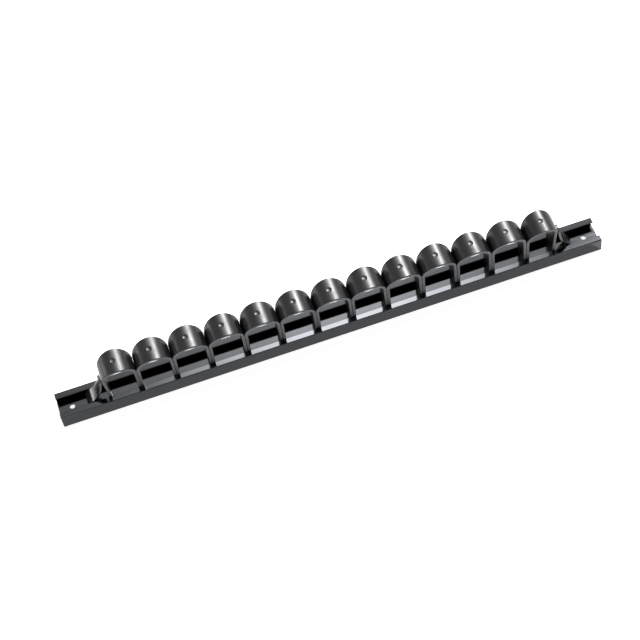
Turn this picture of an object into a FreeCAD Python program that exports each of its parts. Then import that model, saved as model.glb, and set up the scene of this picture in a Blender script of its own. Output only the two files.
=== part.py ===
import FreeCAD, Part
import math
import os

# Wrench rack: a black lipped channel rail with a row of arched clips standing in its slot,
# and a curved spring leaf at each end of the row. A wrench handle is pushed down between two neighbours.
# Frame: X runs along the rail, Y from the front lip to the back lip, Z up from the face that meets the wall.
# The origin is the middle of that face. All sizes are in millimetres and all angles in degrees.

V = FreeCAD.Vector

# Rail, a channel bent from sheet: two side walls, a raised floor and two inward lips
rail_length = 463.0
rail_width = 24.8
rail_height = 13.4
wall = 1.5
floor_top = 6.4
floor_thickness = 1.5
slot_half = 6.8
lip_drop = 0.3
lip_thickness = 1.3
bend_radius = 1.0
lip_edge_radius = 0.4
hole_diameter = 4.4
hole_from_end = 11.2

# Clip, a strip moulded into a half-round dome on two legs that touch their neighbours' legs
clip_count = 13
pitch = 30.0
row_shift = 2.4
neighbour_gap = 0.1
clip_top = 51.0
dome_thickness = 2.3
spring_thickness = 2.7
foot_thickness = 2.2
dome_half_depth = 11.2
waist_half_depth = 7.2
waist_hollow = 0.3
neck_half_depth = 6.4
clip_foot_half_depth = 9.5
clip_foot_height = 2.2
dimple_diameter = 4.6
dimple_depth = 0.5

# The outer leg of each end clip has no neighbour and leans in: how far at the springing and at the foot
left_end_inset = (1.1, 3.3)
right_end_inset = (2.9, 5.8)
right_end_drop = 1.2

# End leaf, a strip that stands on the rail floor, climbs through the slot and curves up to the last clip
leaf_thickness = 1.7
left_leaf_gap = 0.15
right_leaf_gap = 1.5
right_leaf_steeper = 5.5
leaf_ramp_angle = 54.0
leaf_ramp_run = 7.7
leaf_fold_angle = 38.0
leaf_tip_angle = 80.0
leaf_bend_radius = 24.0
leaf_top = 34.0
leaf_foot_half_depth = 9.0
leaf_foot_height = 1.8
leaf_foot_corner = 2.0
leaf_neck_half_depth = 6.0
leaf_neck_height = 12.0
leaf_tip_half_depth = 5.0

# Clearance between the sliding pieces and the rail floor
floor_gap = 0.15

# Sizes that follow from the ones above
dome_radius = (pitch - neighbour_gap) / 2
spring_height = clip_top - dome_radius
foot_height = floor_top + floor_gap
row_half = (clip_count - 1) / 2 * pitch
lip_under = rail_height - lip_thickness
slot_top = rail_height - lip_drop
lip_clear = lip_under - lip_drop - floor_gap


def segment(start, end):
    return Part.LineSegment(start, end).toShape()


def closed_face(points):
    return Part.Face(Part.makePolygon(points + [points[0]]))


def edges_along_x(shape, keep):
    """The long straight edges of a shape whose (y, z) place passes the test."""
    found = []
    for edge in shape.Edges:
        centre = edge.CenterOfMass
        runs_along = edge.BoundBox.YLength < 0.01 and edge.BoundBox.ZLength < 0.01
        if runs_along and keep(abs(centre.y), centre.z):
            found.append(edge)
    return found


def rail():
    """Channel profile pushed along X, its bends rounded, with a screw hole through the floor near each end."""
    half = rail_width / 2
    inner = half - wall
    floor_under = floor_top - floor_thickness
    right_side = [
        (inner, 0), (half, 0), (half, rail_height), (slot_half, slot_top),
        (slot_half, slot_top - lip_thickness), (inner, lip_under), (inner, floor_top),
    ]
    outline = [(y, z) for y, z in right_side] + [(-y, z) for y, z in reversed(right_side)]
    outline += [(-inner, floor_under), (inner, floor_under)]
    points = [V(-rail_length / 2, y, z) for y, z in outline]
    body = closed_face(points).extrude(V(rail_length, 0, 0))
    bends = edges_along_x(body, lambda y, z: y > inner + 0.1 and z > lip_under)
    body = body.makeFillet(bend_radius, bends)
    lip_edges = edges_along_x(body, lambda y, z: y < slot_half + 0.1 and z > lip_under - lip_drop - 0.1)
    body = body.makeFillet(lip_edge_radius, lip_edges)
    for side in (-1, 1):
        x = side * (rail_length / 2 - hole_from_end)
        body = body.cut(Part.makeCylinder(hole_diameter / 2, rail_height, V(x, 0, 0)))
    return body


def arch_outline(springs, feet, crown_height, foot):
    """Closed outline of an arch in the XZ plane, from the x places of its springings and feet. A quarter circle
    rises from each springing to the crown at X = 0."""
    crown = V(0, 0, crown_height)
    slant = math.sqrt(0.5)
    left, right = (V(x, 0, crown_height - abs(x)) for x in springs)
    left_middle, right_middle = (V(x * slant, 0, crown_height - abs(x) * (1 - slant)) for x in springs)
    left_foot, right_foot = (V(x, 0, foot) for x in feet)
    return Part.Wire([
        segment(left_foot, left), Part.Arc(left, left_middle, crown).toShape(),
        Part.Arc(crown, right_middle, right).toShape(), segment(right, right_foot), segment(right_foot, left_foot),
    ])


def pushed_both_ways(wire, direction):
    """Solid made by pushing a flat outline the same distance to both sides of its plane."""
    face = Part.Face(wire)
    face.translate(direction * -1)
    return face.extrude(direction * 2)


def clip_side():
    """Side view of a clip pushed along X: foot under the lips, neck through the slot, waist, and a dome that
    swells from the waist to the crown."""
    middle_half_depth = (waist_half_depth + dome_half_depth) / 2 - waist_hollow
    right_side = [
        V(0, clip_foot_half_depth, foot_height), V(0, clip_foot_half_depth, foot_height + clip_foot_height),
        V(0, neck_half_depth, lip_clear), V(0, waist_half_depth, spring_height),
        V(0, middle_half_depth, (spring_height + clip_top) / 2), V(0, dome_half_depth, clip_top),
        V(0, dome_half_depth, clip_top + 1),
    ]
    ring = right_side + [V(0, -p.y, p.z) for p in reversed(right_side)]
    return pushed_both_ways(Part.makePolygon(ring + [ring[0]]), V(2 * dome_radius, 0, 0))


def clip(left_inset=(0, 0), right_inset=(0, 0), top=clip_top):
    """One clip centred on X = 0: an arch trimmed to the side view, with a dimple in its crown."""
    depth = V(0, 2 * dome_half_depth, 0)
    springs = (left_inset[0] - dome_radius, dome_radius - right_inset[0])
    feet = (left_inset[1] - dome_radius, dome_radius - right_inset[1])
    inner_springs = (springs[0] + spring_thickness, springs[1] - spring_thickness)
    inner_feet = (feet[0] + foot_thickness, feet[1] - foot_thickness)
    arch = pushed_both_ways(arch_outline(springs, feet, top, foot_height), depth)
    opening = arch_outline(inner_springs, inner_feet, top - dome_thickness, foot_height - 1)
    body = arch.cut(pushed_both_ways(opening, depth)).common(clip_side())
    ball_radius = (dimple_diameter ** 2 / 4 + dimple_depth ** 2) / (2 * dimple_depth)
    centre = V(0, 0, top + ball_radius - dimple_depth)
    return body.cut(Part.makeSphere(ball_radius, centre, V(1, 0, 0)))


def heading(angle):
    """Direction of a path that climbs inward at this angle from the floor."""
    return V(-math.cos(math.radians(angle)), 0, math.sin(math.radians(angle)))


def steepening_arc(start, start_angle, end_angle, radius):
    """Arc that climbs inward and steepens from one angle to another, and the point where it ends."""
    def at(angle):
        sines = math.sin(math.radians(angle)) - math.sin(math.radians(start_angle))
        cosines = math.cos(math.radians(start_angle)) - math.cos(math.radians(angle))
        return start + V(-radius * sines, 0, radius * cosines)
    end = at(end_angle)
    return Part.Arc(start, at((start_angle + end_angle) / 2), end).toShape(), end


def leaf_strip(steeper):
    """Side view of the right-hand leaf: its outer face runs up from the floor, the thickness lies inside it.
    A leaf that stands steeper has this many degrees added all along."""
    ramp, fold, tip = (angle + steeper for angle in (leaf_ramp_angle, leaf_fold_angle, leaf_tip_angle))
    start = V(0, 0, foot_height) - heading(ramp)
    bend_start = start + heading(ramp) * (leaf_ramp_run + 1)
    bend, bend_end = steepening_arc(bend_start, fold, tip, leaf_bend_radius)
    end = bend_end + heading(tip) * (leaf_top + 1 - bend_end.z)
    path = Part.Wire([segment(start, bend_start), bend, segment(bend_end, end)])
    mitred = 2
    return path.makeOffset2D(leaf_thickness, mitred, True, True)


def leaf_front_view():
    """Front outline of a leaf in the YZ plane: rounded foot, taper through the slot, round tip."""
    shoulder = leaf_top - leaf_tip_half_depth
    right_side = [
        V(0, leaf_foot_half_depth, foot_height + leaf_foot_height), V(0, leaf_neck_half_depth, leaf_neck_height),
        V(0, leaf_tip_half_depth, shoulder),
    ]
    left_side = [V(0, -p.y, p.z) for p in right_side]
    rounding = 1 - math.sqrt(0.5)
    foot_edge = leaf_foot_half_depth - leaf_foot_corner
    corner_middle = leaf_foot_half_depth - leaf_foot_corner * rounding
    corner_height = foot_height + leaf_foot_height * rounding
    edges = [segment(V(0, -foot_edge, foot_height), V(0, foot_edge, foot_height))]
    for side, points in ((1, right_side), (-1, left_side)):
        corner = Part.Arc(V(0, side * foot_edge, foot_height), V(0, side * corner_middle, corner_height), points[0])
        edges += [corner.toShape(), segment(points[0], points[1]), segment(points[1], points[2])]
    edges.append(Part.Arc(right_side[-1], V(0, 0, leaf_top), left_side[-1]).toShape())
    return Part.Wire(Part.__sortEdges__(edges))


def leaf(steeper=0):
    """Right-hand end leaf: bent strip pushed along Y and trimmed to its front view. Its tip touches X = 0."""
    strip = leaf_strip(steeper)
    strip.translate(V(0, -leaf_foot_half_depth, 0))
    body = strip.extrude(V(0, 2 * leaf_foot_half_depth, 0))
    body = body.common(pushed_both_ways(leaf_front_view(), V(2 * leaf_top, 0, 0)))
    body.translate(V(-body.BoundBox.XMin, 0, 0))
    return body


def export(shape, name):
    shape.exportStep("parts/" + name + ".step")


def main():
    os.makedirs("parts", exist_ok=True)
    export(rail(), "rail")
    shapes = [clip()] * clip_count
    shapes[0] = clip(left_inset=left_end_inset)
    shapes[-1] = clip(right_inset=right_end_inset, top=clip_top - right_end_drop)
    for number, shape in enumerate(shapes):
        placed = shape.copy()
        placed.translate(V(row_shift - row_half + number * pitch, 0, 0))
        export(placed, "clip_%02d" % (number + 1))
    reach = row_half + dome_radius
    right_leaf = leaf(right_leaf_steeper)
    right_leaf.translate(V(row_shift + reach - right_end_inset[0] + right_leaf_gap, 0, 0))
    left_leaf = leaf().mirror(V(0, 0, 0), V(1, 0, 0))
    left_leaf.translate(V(row_shift - reach + left_end_inset[0] - left_leaf_gap, 0, 0))
    export(right_leaf, "end_leaf_right")
    export(left_leaf, "end_leaf_left")


main()
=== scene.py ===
import math

import bmesh
import bpy
from bpy.props import FloatProperty, FloatVectorProperty, PointerProperty
from mathutils import Matrix, Vector


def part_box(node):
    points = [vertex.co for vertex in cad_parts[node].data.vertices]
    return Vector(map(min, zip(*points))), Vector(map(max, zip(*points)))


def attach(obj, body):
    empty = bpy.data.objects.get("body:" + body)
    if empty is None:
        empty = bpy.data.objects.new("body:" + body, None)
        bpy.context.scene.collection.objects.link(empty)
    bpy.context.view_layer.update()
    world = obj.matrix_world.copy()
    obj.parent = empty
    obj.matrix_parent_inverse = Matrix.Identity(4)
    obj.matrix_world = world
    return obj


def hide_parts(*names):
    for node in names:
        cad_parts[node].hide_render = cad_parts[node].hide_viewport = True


bl_info = {
    "name": "Wrench rack",
    "version": (1, 0, 0),
    "blender": (4, 5, 0),
    "location": "View3D > Sidebar > Wrench rack",
    "description": "Dresses the rail, the clips and the end leaves of a wrench rack",
    "category": "Object",
}

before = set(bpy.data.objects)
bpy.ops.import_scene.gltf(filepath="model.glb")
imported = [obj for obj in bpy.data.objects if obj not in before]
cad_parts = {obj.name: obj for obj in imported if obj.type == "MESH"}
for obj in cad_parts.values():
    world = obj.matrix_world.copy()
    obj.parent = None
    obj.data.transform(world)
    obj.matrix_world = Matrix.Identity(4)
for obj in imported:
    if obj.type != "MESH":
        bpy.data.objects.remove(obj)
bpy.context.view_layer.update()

CLIPS = ["clip_%02d" % number for number in range(1, 14)]
MM = 0.001
X, Y, Z = Vector((1, 0, 0)), Vector((0, 1, 0)), Vector((0, 0, 1))

# Vertices this close count as one, and an edge that bends more than this stays sharp
TOUCHING = 0.001 * MM
SHARP = math.radians(50)

# A face looks along an axis when its normal has at least this share of it
FACING = 0.9
RIM_FACING = 0.8

# Steps in the curves: a quarter of a dome, a leaf's ramp, a leaf's bend, and a full circle
QUARTER_STEPS = 28
RAMP_STEPS = 6
BEND_STEPS = 20
CIRCLE_STEPS = 48


def length(name, millimetres, description):
    """A length property with its default in millimetres."""
    return FloatProperty(name=name, description=description, default=millimetres * MM, min=0.0,
                         precision=5, subtype="DISTANCE", unit="LENGTH")


def angle(name, degrees, description):
    """An angle property with its default in degrees."""
    return FloatProperty(name=name, description=description, default=math.radians(degrees),
                         subtype="ANGLE", unit="ROTATION")


def light_level(name, level, description):
    """A brightness property."""
    return FloatProperty(name=name, description=description, default=level, min=0.0)


def linear(hex_colour):
    """An sRGB hex value as linear red, green and blue."""
    parts = [int(hex_colour[i:i + 2], 16) / 255 for i in (1, 3, 5)]
    return tuple(c / 12.92 if c <= 0.04045 else ((c + 0.055) / 1.055) ** 2.4 for c in parts)


def colour(name, hex_colour, description):
    """A colour property with its default as an sRGB hex value."""
    return FloatVectorProperty(name=name, description=description, default=linear(hex_colour),
                               min=0.0, max=1.0, subtype="COLOR")


# Sizes and colours that a user would change

class RackRail(bpy.types.PropertyGroup):
    wall: length("Sheet", 1.5, "Thickness of the rail's side walls and floor")
    floor_top: length("Floor height", 6.4, "Height of the raised floor above the back face")
    slot_half: length("Half slot", 6.8, "Half the width of the slot between the two lips")
    lip: length("Lip", 1.3, "Thickness of the inward lips")
    lip_drop: length("Lip drop", 0.3, "How far each lip dips from the bend to the slot")
    lip_edge: length("Lip rounding", 0.4, "Rounding of the lips' edges at the slot")
    bend: length("Bend radius", 1.0, "Outer radius of the two upper bends")
    burr: length("Edge rounding", 0.25, "Rounding that the coating leaves on the sheet's cut edges")
    hole: length("Screw hole", 4.4, "Diameter of the screw holes")
    hole_inset: length("Hole inset", 11.2, "From each end of the rail to its screw hole")
    tint: colour("Coating", "#3d3e40", "Reflection colour of the black plated sheet")


class RackClip(bpy.types.PropertyGroup):
    crown: length("Crown thickness", 2.3, "Thickness of the dome at its crown")
    spring: length("Shoulder thickness", 2.7, "Thickness where the dome meets its legs")
    foot: length("Foot thickness", 2.2, "Thickness of the legs at the rail floor")
    dome_depth: length("Half depth at crown", 11.2, "Half the depth of the dome at its crown")
    waist_depth: length("Half depth at waist", 7.2, "Half the depth where the dome meets its legs")
    neck_depth: length("Half depth at slot", 6.4, "Half the depth of the legs where they pass the slot")
    foot_depth: length("Half depth of foot", 9.5, "Half the depth of the foot under the lips")
    foot_height: length("Foot height", 2.2, "Height of the foot's full width")
    rim: length("Rim rounding", 0.5, "Rounding of the front and back rims")
    dimple: length("Dimple", 5.2, "Diameter of the dimple in the crown")
    dimple_depth: length("Dimple depth", 0.5, "Depth of the dimple in the crown")
    left_lean: length("Left lean", 2.2, "How far the first clip's free leg leans in")
    right_lean: length("Right lean", 2.9, "How far the last clip's free leg leans in")
    tint: colour("Moulding", "#0e0f11", "Colour of the polished black moulding")
    # The rims' pale grey is painted sheen, standing for the white floor's reflection on them
    rim_painted_sheen_tint: colour("Rim", "#707275", "Colour of the matt cut rims")


class RackLeaf(bpy.types.PropertyGroup):
    thickness: length("Thickness", 1.7, "Thickness of the leaf")
    ramp_angle: angle("Ramp", 54.0, "Slope of the foot's ramp above the floor")
    fold_angle: angle("Fold", 38.0, "Slope just above the fold")
    tip_angle: angle("Tip", 80.0, "Slope of the upright tip")
    right_steeper: angle("Right leaf steeper", 5.5, "How much steeper the right leaf stands")
    bend: length("Bend radius", 24.0, "Radius of the curve between the fold and the tip")
    ramp: length("Ramp", 7.7, "Length of the ramp from the floor to the fold")
    foot_depth: length("Half depth of foot", 9.0, "Half the depth of the leaf on the floor")
    foot_height: length("Foot height", 1.8, "Height of the foot's full width")
    foot_corner: length("Foot corner", 2.0, "Rounding of the foot's two corners")
    neck_depth: length("Half depth at neck", 6.0, "Half the depth of the leaf where it passes the slot")
    neck_height: length("Neck height", 12.0, "Height of the neck above the back face")
    tip_depth: length("Half depth at tip", 5.0, "Half the depth of the leaf below its round tip")
    rim: length("Rim rounding", 0.3, "Rounding of the leaf's long edges")


class RackStudio(bpy.types.PropertyGroup):
    key: light_level("Key light", 180.0, "Radiance of the main softbox")
    spill: light_level("Overhead spill", 2.7, "Radiance of the wide glow round the overhead softbox")
    overhead: light_level("Overhead light", 13.5, "Radiance of the softbox over the slot")
    side: light_level("Side light", 20.0, "Radiance of the low strip at the left")
    ambient: light_level("Ambient", 0.18, "Strength of the sky on matt surfaces")
    glow: light_level("Floor glow", 0.9, "Level the floor keeps in the rack's shadow")
    floor: colour("Floor", "#dadada", "Colour of the plain floor")


# Shader nodes

# Places of a mix node's colour sockets, which share their names with its number and vector sockets
MIX_A, MIX_B, MIX_RESULT = 6, 7, 2


def feed(tree, socket, value):
    """Links an output to a socket, or sets the socket to a plain value."""
    if isinstance(value, bpy.types.NodeSocket):
        tree.links.new(value, socket)
    else:
        socket.default_value = value


def set_sockets(tree, node, **sockets):
    """Feeds a node's inputs by socket name, with an underscore for each space."""
    for name, value in sockets.items():
        feed(tree, node.inputs[name.replace("_", " ")], value)


def add_node(tree, kind, settings=None, **sockets):
    """Adds a node with its settings, and its input values or links by socket name."""
    made = tree.nodes.new(kind)
    for name, value in (settings or {}).items():
        setattr(made, name, value)
    set_sockets(tree, made, **sockets)
    return made


def maths(tree, operation, *values, kind="ShaderNodeMath"):
    """The number that a maths node makes of its inputs, given in their order."""
    made = add_node(tree, kind, {"operation": operation})
    for socket, value in zip(made.inputs, values):
        feed(tree, socket, value)
    return made.outputs["Value"]


def ranged(tree, value, source, target, curve="LINEAR"):
    """A value brought from one range, a low and a high, to another."""
    made = add_node(tree, "ShaderNodeMapRange", {"interpolation_type": curve}, Value=value,
                    From_Min=source[0], From_Max=source[1], To_Min=target[0], To_Max=target[1])
    return made.outputs["Result"]


def own_space(tree):
    """Coordinates that are fixed to the piece, in metres."""
    return add_node(tree, "ShaderNodeTexCoord").outputs["Object"]


def stretched(tree, place, scale):
    """Coordinates scaled per axis, so that a noise on them is drawn out where the scale is small."""
    return add_node(tree, "ShaderNodeMapping", Vector=place, Scale=scale).outputs["Vector"]


def noise(tree, place, size, detail):
    """A noise whose features are this many millimetres apart."""
    scale = 1.0 / (size * MM)
    return add_node(tree, "ShaderNodeTexNoise", Vector=place, Scale=scale, Detail=detail).outputs["Fac"]


def shade(tint, level):
    """A tint made darker or lighter, with full opacity."""
    return tuple(channel * level for channel in tint) + (1.0,)


def two_tone(tree, share, tint, darkest, lightest):
    """A tint that runs between two levels with a noise."""
    mix = add_node(tree, "ShaderNodeMix", {"data_type": "RGBA"}, Factor=share)
    mix.inputs[MIX_A].default_value = shade(tint, darkest)
    mix.inputs[MIX_B].default_value = shade(tint, lightest)
    return mix.outputs[MIX_RESULT]


def bump(tree, height, depth, beneath=None):
    """The normal of a surface that a noise raises by up to this many millimetres, on another one if given."""
    made = add_node(tree, "ShaderNodeBump", Height=height, Strength=1.0, Distance=depth * MM)
    if beneath:
        feed(tree, made.inputs["Normal"], beneath)
    return made.outputs["Normal"]


def new_material(name):
    """A material with its node tree and its shader."""
    material = bpy.data.materials.new(name)
    material.use_nodes = True
    tree = material.node_tree
    return material, tree, tree.nodes["Principled BSDF"]


# Materials, with refractive indices and roughness fitted to the highlights in the photograph

def black_abs(name, smoothest, roughest, ior):
    """Gloss black ABS moulding: a deep mirror of the room, broken by faint draw marks from front to back."""
    tint = bpy.context.scene.rack_clip.tint
    material, tree, shader = new_material(name)
    place = own_space(tree)
    marks = noise(tree, stretched(tree, place, (1.0, 0.03, 1.0)), size=1.4, detail=3.0)
    haze = noise(tree, place, size=9.0, detail=2.0)
    peel = noise(tree, place, size=3.0, detail=1.0)
    marked_haze = maths(tree, "MULTIPLY_ADD", marks, 0.5, haze)
    rough = ranged(tree, marked_haze, (0.45, 1.05), (smoothest, roughest))
    tone = two_tone(tree, haze, tint, darkest=0.6, lightest=1.0)
    normal = bump(tree, marks, depth=0.003, beneath=bump(tree, peel, depth=0.006))
    set_sockets(tree, shader, IOR=ior, Roughness=rough, Base_Color=tone, Normal=normal)
    return material


def satin_rim_painted_sheen():
    """The same moulding on its front and back rims: a fine grain on a satin grey, whose pale level is painted
    sheen standing for the white floor's reflection on these edges.
    """
    tint = bpy.context.scene.rack_clip.rim_painted_sheen_tint
    material, tree, shader = new_material("satin_rim_painted_sheen")
    grain = noise(tree, own_space(tree), size=0.9, detail=3.0)
    rough = ranged(tree, grain, (0.3, 0.7), (0.52, 0.68))
    tone = two_tone(tree, grain, tint, darkest=0.8, lightest=1.2)
    normal = bump(tree, grain, depth=0.012)
    set_sockets(tree, shader, IOR=1.5, Roughness=rough, Base_Color=tone, Normal=normal)
    return material


def black_plated_sheet():
    """Black plated sheet steel: a smoky mirror with rolling marks along the rail and a fine mottle."""
    tint = bpy.context.scene.rack_rail.tint
    material, tree, shader = new_material("black_plated_sheet")
    place = own_space(tree)
    marks = noise(tree, stretched(tree, place, (0.02, 1.0, 1.0)), size=1.1, detail=3.0)
    mottle = noise(tree, place, size=12.0, detail=3.0)
    rough = ranged(tree, marks, (0.3, 0.7), (0.06, 0.13))
    tone = two_tone(tree, mottle, tint, darkest=0.88, lightest=1.1)
    normal = bump(tree, marks, depth=0.004)
    set_sockets(tree, shader, Metallic=1.0, Roughness=rough, Base_Color=tone, Normal=normal)
    return material


# Mesh helpers

def vertices_in(geometry):
    return [item for item in geometry if isinstance(item, bmesh.types.BMVert)]


def first_edge_in(geometry):
    return next(item for item in geometry if isinstance(item, bmesh.types.BMEdge))


def to_mesh(shape, name):
    """Turns a bmesh into a mesh and frees it."""
    mesh = bpy.data.meshes.new(name)
    shape.to_mesh(mesh)
    shape.free()
    return mesh


def to_object(data, name):
    """Puts a mesh, light or camera into the scene as an object."""
    made = bpy.data.objects.new(name, data)
    bpy.context.scene.collection.objects.link(made)
    return made


def join_and_face_out(shape):
    """Joins the vertices that touch and turns every face outwards."""
    bmesh.ops.remove_doubles(shape, verts=shape.verts, dist=TOUCHING)
    bmesh.ops.recalc_face_normals(shape, faces=shape.faces)


def finished_piece(name, shape, materials, body):
    """Turns a bmesh into the piece that stands for the CAD node of the same name."""
    join_and_face_out(shape)
    for face in shape.faces:
        face.smooth = True
    mesh = to_mesh(shape, name)
    for material in materials:
        mesh.materials.append(material)
    piece = to_object(mesh, name + "_dressed")
    weighted = piece.modifiers.new("even shading", "WEIGHTED_NORMAL")
    weighted.keep_sharp = True
    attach(piece, body)
    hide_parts(name)


def cut_away(shape, cutter):
    """Takes the cutter's volume out of the shape and returns the result as a new bmesh."""
    objects = []
    for source in (shape, cutter):
        bmesh.ops.recalc_face_normals(source, faces=source.faces)
        objects.append(to_object(to_mesh(source, "blank"), "blank"))
    body, tool = objects
    modifier = body.modifiers.new("cut", "BOOLEAN")
    modifier.object = tool
    modifier.operation = "DIFFERENCE"
    modifier.solver = "EXACT"
    cut = body.evaluated_get(bpy.context.evaluated_depsgraph_get()).to_mesh()
    result = bmesh.new()
    result.from_mesh(cut)
    for item in objects:
        bpy.data.objects.remove(item)
    return result


def turn(shape, geometry, centre, swing, steps):
    """Sweeps an edge round a line along Y and returns the last of what it made."""
    made = bmesh.ops.spin(shape, geom=geometry, cent=centre, axis=Y, dvec=(0, 0, 0), angle=swing, steps=steps)
    return made["geom_last"]


def draw_out(shape, edge, step):
    """Pulls an edge to a new place with a face behind it and returns the new edge."""
    made = bmesh.ops.extrude_edge_only(shape, edges=[edge])["geom"]
    bmesh.ops.translate(shape, verts=vertices_in(made), vec=step)
    return first_edge_in(made)


def push_out(shape, faces, step):
    """Makes flat faces a solid by one step, and keeps them as its near end."""
    made = bmesh.ops.extrude_face_region(shape, geom=faces, use_keep_orig=True)["geom"]
    bmesh.ops.translate(shape, verts=vertices_in(made), vec=step)


def thicken_along_y(shape):
    """Makes a flat XZ outline a slab from Y = -1 to Y = 1, for its depth to be set after."""
    bmesh.ops.translate(shape, verts=shape.verts, vec=-Y)
    push_out(shape, shape.faces[:], Y * 2)


def round_off(shape, edges, radius, segments):
    """Rounds edges by this radius."""
    bmesh.ops.bevel(shape, geom=edges, offset=radius, offset_type="OFFSET", affect="EDGES",
                    segments=segments, profile=0.5, material=-1, clamp_overlap=True)


def end_rims(shape, axis):
    """Edges between a face that looks along the axis and one that doesn't."""
    return [edge for edge in shape.edges if len(edge.link_faces) == 2
            and sum(abs(face.normal.dot(axis)) > FACING for face in edge.link_faces) == 1]


def blend_between(pairs, height):
    """Value at a height, between the nearest pairs of height and value."""
    for (low, first), (high, last) in zip(pairs, pairs[1:]):
        if height <= high:
            share = max(0.0, (height - low) / (high - low))
            return first + (last - first) * share
    return pairs[-1][1]


# Clips

# How late the dome swells from its waist to its crown, and the least bend of an edge round the dimple
FLARE = 1.15
DIMPLE_CREASE = 0.3

# Places of the two finishes in a clip's list of materials
GLOSS, PAINTED_SHEEN_RIM = 0, 1


def half_clip(sizes, side, crown_x, top, radius, inset, below):
    """Half of a clip, open at its crown: a quarter round on a leg whose foot stands in by the inset. side is
    -1 for the left half and 1 for the right one. below pairs the heights of the leg with its half depths,
    floor first."""
    half = bmesh.new()
    floor = below[0][0]
    centre = Vector((crown_x, 0, top - radius))
    inner = half.verts.new(centre + X * side * (radius - sizes.spring))
    outer = half.verts.new(centre + X * side * radius)
    springing = half.edges.new((inner, outer))
    turn(half, [inner, outer, springing], centre, -side * math.pi / 2, QUARTER_STEPS)
    middle_of_strip = radius - sizes.crown / 2
    lift = (radius - sizes.crown) / (radius - sizes.spring)
    for vert in half.verts:
        if (vert.co - centre).length < middle_of_strip:
            vert.co.z = centre.z + (vert.co.z - centre.z) * lift
    edge = springing
    for height, _ in reversed(below):
        edge = draw_out(half, edge, Z * (height - edge.verts[0].co.z))
        share = (centre.z - height) / (centre.z - floor)
        outer_x = crown_x + side * (radius - inset * share)
        thick = sizes.spring + (sizes.foot - sizes.spring) * share
        near, far = sorted(edge.verts, key=lambda vert: side * vert.co.x)
        near.co.x = outer_x - side * thick
        far.co.x = outer_x
    thicken_along_y(half)
    for vert in half.verts:
        if vert.co.z > centre.z:
            rise = math.atan2(vert.co.z - centre.z, abs(vert.co.x - crown_x))
            swell = math.sin(rise) ** FLARE
            depth = sizes.waist_depth + (sizes.dome_depth - sizes.waist_depth) * swell
        else:
            depth = blend_between(below + [(centre.z, sizes.waist_depth)], vert.co.z)
        vert.co.y *= depth
    crown_faces = [face for face in half.faces
                   if all(abs(vert.co.x - crown_x) < TOUCHING for vert in face.verts)]
    bmesh.ops.delete(half, geom=crown_faces, context="FACES_ONLY")
    return half


def dimple_ball(sizes, crown):
    """The ball that leaves the dimple when it is cut from the crown."""
    radius = (sizes.dimple ** 2 / 4 + sizes.dimple_depth ** 2) / (2 * sizes.dimple_depth)
    ball = bmesh.new()
    bmesh.ops.create_uvsphere(ball, u_segments=CIRCLE_STEPS, v_segments=CIRCLE_STEPS, radius=radius)
    bmesh.ops.translate(ball, verts=ball.verts, vec=crown + Z * (radius - sizes.dimple_depth))
    return ball


def clip_shape(node, sizes, floor, crown_x, lean):
    """One clip from its CAD box: a dome of two quarter rounds on two legs, narrow at the slot and with a
    dimple in its crown. lean gives how far the left and right feet stand in from their springings."""
    low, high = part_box(node)
    rail = bpy.context.scene.rack_rail
    lip_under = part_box("rail")[1].z - rail.lip - rail.lip_drop
    below = [(floor, sizes.foot_depth), (floor + sizes.foot_height, sizes.foot_depth),
             (lip_under, sizes.neck_depth)]
    shape = bmesh.new()
    for side, radius, inset in ((-1, crown_x - low.x, lean[0]), (1, high.x - crown_x, lean[1])):
        half = to_mesh(half_clip(sizes, side, crown_x, high.z, radius, inset, below), "half")
        shape.from_mesh(half)
        bpy.data.meshes.remove(half)
    join_and_face_out(shape)
    round_off(shape, end_rims(shape, Y), sizes.rim, segments=3)
    crown = Vector((crown_x, 0, high.z))
    shape = cut_away(shape, dimple_ball(sizes, crown))
    for face in shape.faces:
        # Front and back rims take the satin grey with painted sheen, the rest the gloss
        face.material_index = PAINTED_SHEEN_RIM if abs(face.normal.y) > RIM_FACING else GLOSS
    round_dimple = sizes.dimple * 0.55
    for edge in shape.edges:
        near_dimple = all((vert.co - crown).length < round_dimple for vert in edge.verts)
        creased = len(edge.link_faces) == 2 and edge.calc_face_angle(0) > DIMPLE_CREASE
        edge.smooth = not (near_dimple and creased)
    return shape


class RACK_OT_clips(bpy.types.Operator):
    """Builds the thirteen clips, each a dome on two legs with a dimple in its crown"""
    bl_idname = "rack.clips"
    bl_label = "Clips"

    def execute(self, context):
        sizes = context.scene.rack_clip
        gloss = black_abs("polished_black_abs", smoothest=0.31, roughest=0.4, ior=1.38)
        finishes = [gloss, satin_rim_painted_sheen()]
        low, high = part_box("clip_02")
        radius = (high.x - low.x) / 2
        pattern = clip_shape("clip_02", sizes, low.z, low.x + radius, (0, 0))
        for name in CLIPS:
            left, right = (corner.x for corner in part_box(name))
            if name == CLIPS[0]:
                shape = clip_shape(name, sizes, low.z, right - radius, (sizes.left_lean, 0))
            elif name == CLIPS[-1]:
                shape = clip_shape(name, sizes, low.z, left + radius, (0, sizes.right_lean))
            else:
                shape = pattern.copy()
                bmesh.ops.translate(shape, verts=shape.verts, vec=X * (left - low.x))
            finished_piece(name, shape, finishes, name)
        pattern.free()
        return {"FINISHED"}


# Rail

def long_edges(shape, test):
    """Edges along the rail whose distance from its middle and height pass the test."""
    return [edge for edge in shape.edges
            if abs(edge.verts[0].co.x - edge.verts[1].co.x) > MM
            and test(abs(edge.verts[0].co.y), edge.verts[0].co.z)]


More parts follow.
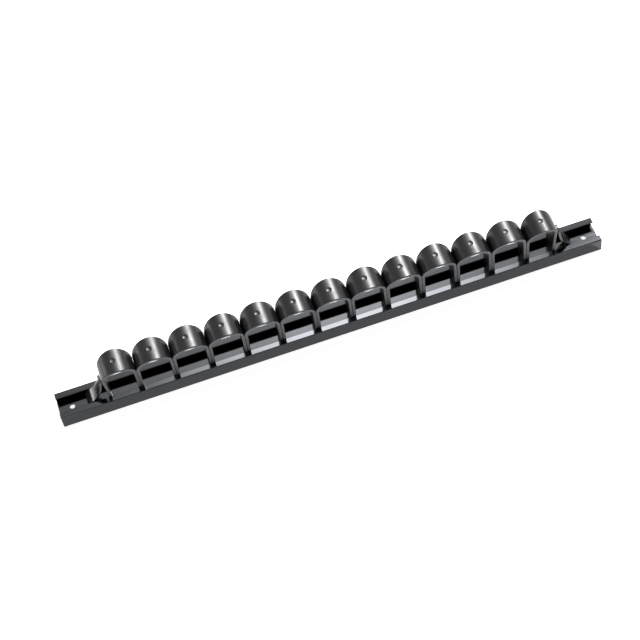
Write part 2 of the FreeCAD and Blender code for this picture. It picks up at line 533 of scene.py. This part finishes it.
class RACK_OT_rail(bpy.types.Operator):
    """Builds the lipped channel rail with its bends and two screw holes"""
    bl_idname = "rack.rail"
    bl_label = "Rail"

    def execute(self, context):
        sizes = context.scene.rack_rail
        low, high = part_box("rail")
        inside = high.y - sizes.wall
        lip_under = high.z - sizes.lip
        slot_top = high.z - sizes.lip_drop
        half = [
            (inside, 0), (high.y, 0), (high.y, high.z), (sizes.slot_half, slot_top),
            (sizes.slot_half, slot_top - sizes.lip), (inside, lip_under), (inside, sizes.floor_top),
        ]
        outline = half + [(-y, z) for y, z in reversed(half)]
        under = sizes.floor_top - sizes.wall
        outline += [(-inside, under), (inside, under)]
        shape = bmesh.new()
        face = shape.faces.new([shape.verts.new((low.x, y, z)) for y, z in outline])
        push_out(shape, [face], X * (high.x - low.x))
        bmesh.ops.recalc_face_normals(shape, faces=shape.faces)
        slack = 0.1 * MM
        bends = long_edges(shape, lambda y, z: y > inside + slack and z > lip_under)
        round_off(shape, bends, sizes.bend, segments=6)
        lips = long_edges(shape, lambda y, z: y < sizes.slot_half + slack and z > lip_under - sizes.lip)
        round_off(shape, lips, sizes.lip_edge, segments=3)
        round_off(shape, end_rims(shape, X), sizes.burr, segments=2)
        drill = bmesh.new()
        drill_length = 8 * MM
        for end in (low.x + sizes.hole_inset, high.x - sizes.hole_inset):
            place = Matrix.Translation((end, 0, sizes.floor_top))
            bmesh.ops.create_cone(drill, cap_ends=True, segments=CIRCLE_STEPS, radius1=sizes.hole / 2,
                                  radius2=sizes.hole / 2, depth=drill_length, matrix=place)
        shape = cut_away(shape, drill)
        for edge in shape.edges:
            edge.smooth = len(edge.link_faces) == 2 and edge.calc_face_angle(0) < SHARP
        finished_piece("rail", shape, [black_plated_sheet()], "rail")
        return {"FINISHED"}


# End leaves

# Rungs of a leaf's upright part, as shares of its length, closer together towards the round tip
TIP_RUNGS = (0.5, 0.68, 0.8, 0.88, 0.94, 0.975, 0.993, 1.0)


def leaf_strip(sizes, low, high, side, steeper):
    """Side view of a leaf: a strip drawn up from the floor, folded, and curved up towards the last clip."""
    ramp, fold, tip = (slope + steeper for slope in (sizes.ramp_angle, sizes.fold_angle, sizes.tip_angle))
    thick = sizes.thickness

    def climb(slope):
        return Vector((-side * math.cos(slope), 0, math.sin(slope)))

    def inward(slope):
        return Vector((-side * math.sin(slope), 0, -math.cos(slope)))
    strip = bmesh.new()
    foot = Vector((high.x if side > 0 else low.x, 0, low.z))
    crease = foot + climb(ramp) * sizes.ramp
    mitre = inward((ramp + fold) / 2) * (thick / math.cos((ramp - fold) / 2))
    at_floor = (foot, foot - X * side * thick / math.sin(ramp))
    at_crease = (crease, crease + mitre)
    edge = strip.edges.new([strip.verts.new(point) for point in at_floor])
    for step in range(1, RAMP_STEPS + 1):
        edge = draw_out(strip, edge, Z)
        for vert, first, last in zip(edge.verts, at_floor, at_crease):
            vert.co = first.lerp(last, step / RAMP_STEPS)
    centre = crease - inward(fold) * sizes.bend
    edge = first_edge_in(turn(strip, [edge, *edge.verts], centre, side * (tip - fold), BEND_STEPS))
    outer = max(edge.verts, key=lambda vert: side * vert.co.x).co.copy()
    for share in TIP_RUNGS:
        edge = draw_out(strip, edge, Z * MM)
        near, far = sorted(edge.verts, key=lambda vert: side * vert.co.x)
        far.co = outer + climb(tip) * ((high.z - outer.z) / math.sin(tip) * share)
        near.co = far.co - X * side * thick / math.sin(tip)
    return strip


def leaf_half_depth(sizes, floor, top, height):
    """Half the depth of a leaf at a height: a rounded foot, a taper through the slot and a round tip."""
    foot_top = floor + sizes.foot_height
    shoulder = top - sizes.tip_depth
    blunt = 0.6 * MM
    if height > shoulder:
        up = min(1.0, (height - shoulder) / sizes.tip_depth)
        return max(sizes.tip_depth * math.sqrt(1 - up ** 2), blunt)
    depth = blend_between([(floor, sizes.foot_depth), (foot_top, sizes.foot_depth),
                           (sizes.neck_height, sizes.neck_depth), (shoulder, sizes.tip_depth)], height)
    if height < foot_top:
        down = min(1.0, 1 - (height - floor) / sizes.foot_height)
        depth -= sizes.foot_corner * (1 - math.sqrt(1 - down ** 2))
    return depth


def leaf_shape(sizes, node, side, steeper):
    """One end leaf, cut to its front outline. side is -1 for the left leaf and 1 for the right one."""
    low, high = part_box(node)
    shape = leaf_strip(sizes, low, high, side, steeper)
    thicken_along_y(shape)
    for vert in shape.verts:
        vert.co.y *= leaf_half_depth(sizes, low.z, high.z, vert.co.z)
    join_and_face_out(shape)
    rims = [edge for edge in shape.edges if len(edge.link_faces) == 2 and edge.calc_face_angle(0) > SHARP]
    round_off(shape, rims, sizes.rim, segments=3)
    return shape


class RACK_OT_leaves(bpy.types.Operator):
    """Builds the two curved end leaves that stand in the slot beside the row of clips"""
    bl_idname = "rack.leaves"
    bl_label = "End leaves"

    def execute(self, context):
        sizes = context.scene.rack_leaf
        finishes = [black_abs("glossy_leaf_abs", smoothest=0.22, roughest=0.3, ior=1.75)]
        for node, side, steeper in (("end_leaf_left", -1, 0.0), ("end_leaf_right", 1, sizes.right_steeper)):
            shape = leaf_shape(sizes, node, side, steeper)
            finished_piece(node, shape, finishes, node)
        return {"FINISHED"}


# Studio

WHITE = (1.0, 1.0, 1.0, 1.0)
RACK_MIDDLE = Vector((0, 0, 0.03))

# Softboxes: name, level, direction from the rack, distance and sides in metres, and how far from its middle,
# as a share of its sides, each keeps its full level
SOFTBOXES = (
    ("key_softbox", "key", (0.427, 0.54, 0.725), 5.5, (1.6, 1.6), 0.2),
    ("overhead_softbox", "overhead", (0.115, 0.636, 0.763), 5.0, (1.75, 1.7), 0.05),
    ("overhead_spill", "spill", (0.115, 0.56, 0.82), 5.0, (3.0, 3.5), 0.05),
    ("side_strip", "side", (-0.829, 0.54, 0.146), 5.0, (0.45, 2.0), 0.2),
)

# Camera fitted to the photograph, in millimetres and degrees
LENS, SENSOR = 104.51, 36.0
CAMERA_AZIMUTH, CAMERA_ELEVATION, CAMERA_ROLL = 9.688, 56.818, -10.137
CAMERA_DISTANCE = 1499.64
CAMERA_TARGET = (-9.886, -4.733, 20.0)

FLOOR_HALF = 8.0
FLOOR_DROP = 0.2 * MM


def softbox(name, radiance, direction, distance, sides, full):
    """A rectangular softbox that faces the rack, at full level in its middle and fading towards its rim."""
    lamp = bpy.data.lights.new(name, "AREA")
    lamp.shape = "RECTANGLE"
    lamp.size, lamp.size_y = sides
    lamp.energy = radiance * math.pi * sides[0] * sides[1]
    lamp.use_nodes = True
    tree = lamp.node_tree
    place = add_node(tree, "ShaderNodeNewGeometry").outputs["Parametric"]
    reach = maths(tree, "DISTANCE", place, (0.5, 0.5, 0.0), kind="ShaderNodeVectorMath")
    level = ranged(tree, reach, (0.5, full), (0.0, 1.0), "SMOOTHSTEP")
    set_sockets(tree, tree.nodes["Emission"], Strength=level)
    box = to_object(lamp, name)
    heading = Vector(direction).normalized()
    box.location = RACK_MIDDLE + heading * distance
    box.rotation_mode = "QUATERNION"
    box.rotation_quaternion = heading.to_track_quat("Z", "Y")


def seen_directly(tree):
    """1 for camera, glossy and transmission rays, which see the plain white room, and 0 for the others."""
    paths = add_node(tree, "ShaderNodeLightPath").outputs
    reflected = maths(tree, "MAXIMUM", paths["Is Camera Ray"], paths["Is Glossy Ray"])
    return maths(tree, "MAXIMUM", reflected, paths["Is Transmission Ray"])


def white_floor(studio):
    """The plain floor under the rack, which glows enough to stay near white in the rack's shadow."""
    sheet = bmesh.new()
    bmesh.ops.create_grid(sheet, x_segments=1, y_segments=1, size=FLOOR_HALF)
    bmesh.ops.translate(sheet, verts=sheet.verts, vec=Z * -FLOOR_DROP)
    mesh = to_mesh(sheet, "floor")
    material, tree, shader = new_material("matt_white_floor")
    glow = maths(tree, "MULTIPLY", seen_directly(tree), studio.glow)
    set_sockets(tree, shader, Roughness=0.9, IOR=1.2, Base_Color=shade(studio.floor, 1.0),
                Emission_Color=WHITE, Emission_Strength=glow)
    mesh.materials.append(material)
    floor = to_object(mesh, "floor")


def white_room(studio):
    """The plain white world, dimmed where it only lights matt surfaces."""
    world = bpy.data.worlds.new("plain_white_room")
    world.use_nodes = True
    tree = world.node_tree
    level = ranged(tree, seen_directly(tree), (0.0, 1.0), (studio.ambient, 1.0))
    set_sockets(tree, tree.nodes["Background"], Color=WHITE, Strength=level)
    return world


def photograph_camera():
    """The camera, turned by its azimuth, tipped down by its elevation and rolled about its line of sight."""
    lens = bpy.data.cameras.new("camera")
    lens.lens, lens.sensor_width = LENS, SENSOR
    lens.clip_start, lens.clip_end = 0.05, 50.0
    camera = to_object(lens, "camera")
    azimuth, elevation, roll = map(math.radians, (CAMERA_AZIMUTH, CAMERA_ELEVATION, CAMERA_ROLL))
    level_x = Vector((math.cos(azimuth), -math.sin(azimuth), 0))
    ahead = Vector((math.sin(azimuth) * math.cos(elevation), math.cos(azimuth) * math.cos(elevation),
                    -math.sin(elevation)))
    level_y = level_x.cross(ahead)
    right = level_x * math.cos(roll) + level_y * math.sin(roll)
    up = level_y * math.cos(roll) - level_x * math.sin(roll)
    place = Matrix((right, up, -ahead)).transposed().to_4x4()
    place.translation = Vector(CAMERA_TARGET) * MM - ahead * (CAMERA_DISTANCE * MM)
    camera.matrix_world = place
    return camera


class RACK_OT_stage(bpy.types.Operator):
    """Sets up the plain floor, the soft studio light and the camera"""
    bl_idname = "rack.stage"
    bl_label = "Studio"

    def execute(self, context):
        scene = context.scene
        studio = scene.rack_studio
        white_floor(studio)
        scene.world = white_room(studio)
        for name, level, direction, distance, sides, full in SOFTBOXES:
            softbox(name, getattr(studio, level), direction, distance, sides, full)
        scene.camera = photograph_camera()
        scene.view_settings.view_transform = "Standard"
        return {"FINISHED"}


# Panel and registration

STEPS = (
    ("rack_rail", RackRail, "rack.rail"),
    ("rack_clip", RackClip, "rack.clips"),
    ("rack_leaf", RackLeaf, "rack.leaves"),
    ("rack_studio", RackStudio, "rack.stage"),
)


class RACK_PT_panel(bpy.types.Panel):
    """Lists the rack's sizes and the steps that build it"""
    bl_idname = "RACK_PT_panel"
    bl_label = "Wrench rack"
    bl_space_type = "VIEW_3D"
    bl_region_type = "UI"
    bl_category = "Wrench rack"

    def draw(self, context):
        for group, _, step in STEPS:
            box = self.layout.box()
            settings = getattr(context.scene, group)
            for name in settings.__annotations__:
                box.prop(settings, name)
            box.operator(step)


CLASSES = (
    RackRail, RackClip, RackLeaf, RackStudio,
    RACK_OT_rail, RACK_OT_clips, RACK_OT_leaves, RACK_OT_stage, RACK_PT_panel,
)


def register():
    for item in CLASSES:
        bpy.utils.register_class(item)
    for name, group, _ in STEPS:
        setattr(bpy.types.Scene, name, PointerProperty(type=group))


def unregister():
    for name, _, _ in STEPS:
        delattr(bpy.types.Scene, name)
    for item in reversed(CLASSES):
        bpy.utils.unregister_class(item)


def main():
    register()
    bpy.ops.rack.rail()
    bpy.ops.rack.clips()
    bpy.ops.rack.leaves()
    bpy.ops.rack.stage()


if __name__ == "__main__":
    main()
